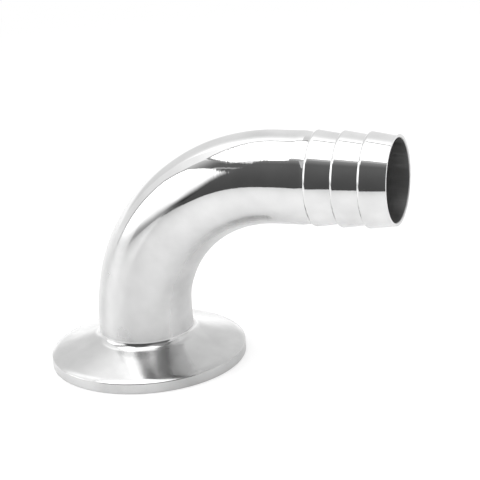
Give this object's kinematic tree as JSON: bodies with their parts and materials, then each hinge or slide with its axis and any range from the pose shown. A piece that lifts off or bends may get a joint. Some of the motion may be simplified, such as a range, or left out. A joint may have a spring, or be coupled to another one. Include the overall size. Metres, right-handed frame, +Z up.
{
  "type": "sanitary hose barb elbow",
  "caption": "Polished stainless right-angle elbow with a clamp ferrule at one end and a barbed spigot at the other, to take a hose off a sanitary tube line.",
  "frame": {"origin": "centre of the ferrule's mating face", "axes": "+Z up along the ferrule's axis and the upright leg, away from the mating face; +X along the barbed leg, out of its mouth"},
  "size_m": [0.0956, 0.0506, 0.0631],
  "materials": {
    "polished_stainless": "mirror-polished stainless steel outside, drawn tube inside"
  },
  "bodies": {
    "root": {"hose_barb_elbow": "polished_stainless"}
  },
  "joints": []
}
